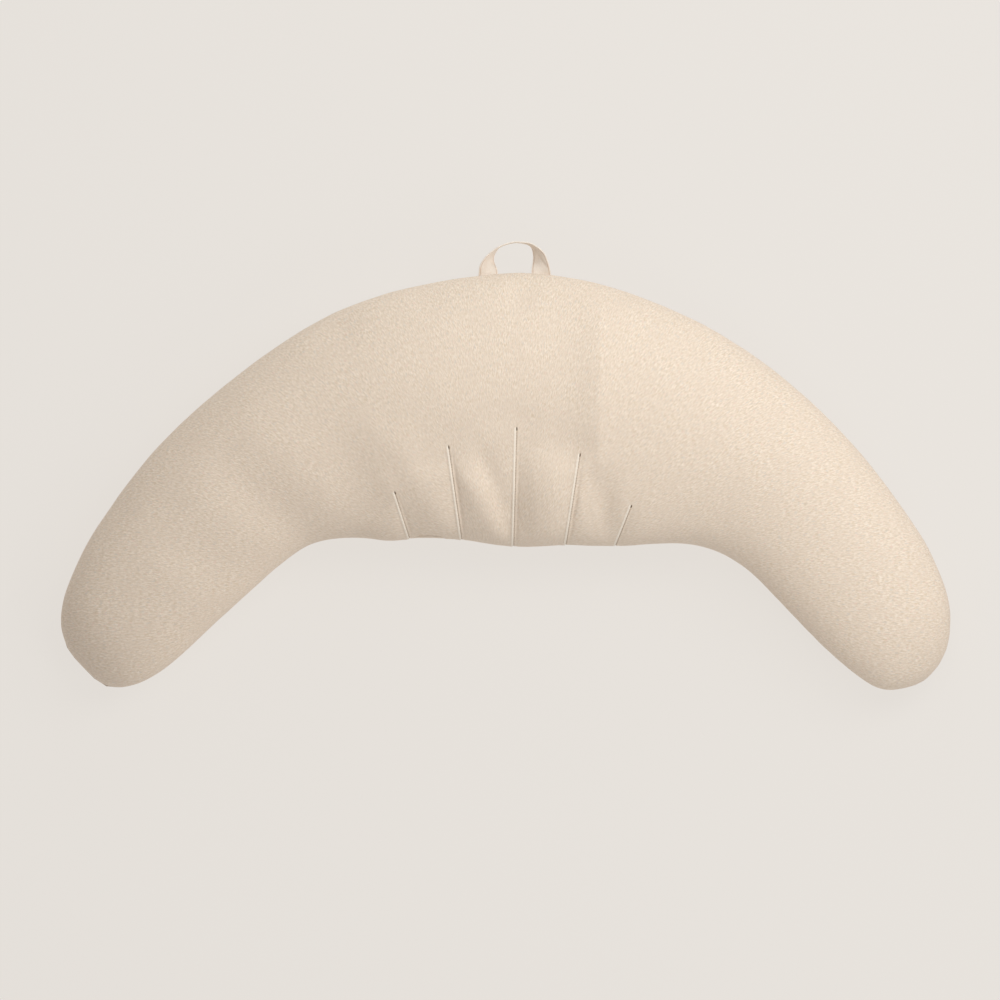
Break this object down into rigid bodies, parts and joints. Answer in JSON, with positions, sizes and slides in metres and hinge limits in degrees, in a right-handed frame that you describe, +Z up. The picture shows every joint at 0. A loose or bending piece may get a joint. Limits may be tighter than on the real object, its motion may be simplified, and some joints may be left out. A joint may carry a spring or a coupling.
{
  "type": "pregnancy pillow",
  "caption": "Crescent-shaped body pillow filled as one cushion, its inner edge drawn in by darts, with a tape carry loop in the seam of the outer edge.",
  "frame": {"origin": "middle of the bounding box, on the floor the pillow lies on", "axes": "+X along the pillow from arm tip to arm tip, +Y from the bay between the arms to the long outer edge with the carry loop, +Z up from the floor through the crown"},
  "size_m": [1.1988, 0.6042, 0.1907],
  "materials": {
    "jersey_cover": "soft brushed cotton jersey, oatmeal melange with fine short flecks",
    "cotton_tape": "folded and edge-stitched cotton tape, matt, a little lighter and pinker than the cover"
  },
  "bodies": {
    "root": {"pillow_body": "jersey_cover", "carry_loop": "cotton_tape"}
  },
  "joints": []
}
